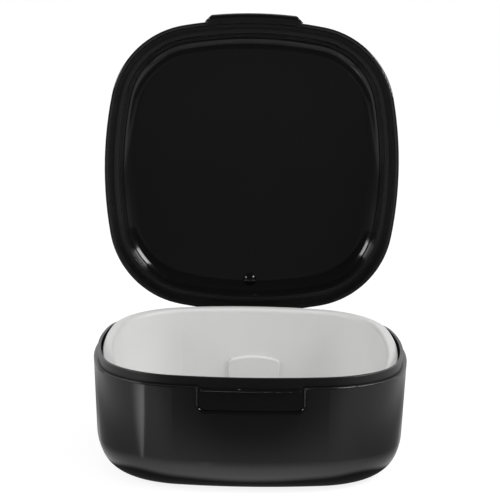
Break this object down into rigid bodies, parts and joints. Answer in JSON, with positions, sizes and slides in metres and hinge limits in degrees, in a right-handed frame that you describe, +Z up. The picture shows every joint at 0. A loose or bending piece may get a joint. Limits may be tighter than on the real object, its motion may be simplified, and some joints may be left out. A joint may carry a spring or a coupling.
{
  "type": "denture case",
  "caption": "Rounded-square hinged case with a stepped lid held open on its stop, a snap tab at the lid's front edge and a white lift-out insert tray.",
  "frame": {"origin": "centre of the flat underside", "axes": "+Z up, -Y to the front where the latch is, +Y to the hinge, +X to the right seen from the front"},
  "size_m": [0.092, 0.1126, 0.1264],
  "materials": {
    "case_plastic": "gloss black moulding",
    "insert_plastic": "satin white moulding",
    "pin_steel": "drawn steel wire"
  },
  "bodies": {
    "base": {"base_shell": "case_plastic", "insert_tray": "insert_plastic", "hinge_pin": "pin_steel"},
    "lid": {"lid_shell": "case_plastic"}
  },
  "joints": [
    {"name": "lid_hinge", "type": "hinge", "parent": "base", "child": "lid", "pos_m": [0, 0.0467, 0.03215], "axis": [1, 0, 0], "range_deg": [0, 96.1]}
  ]
}
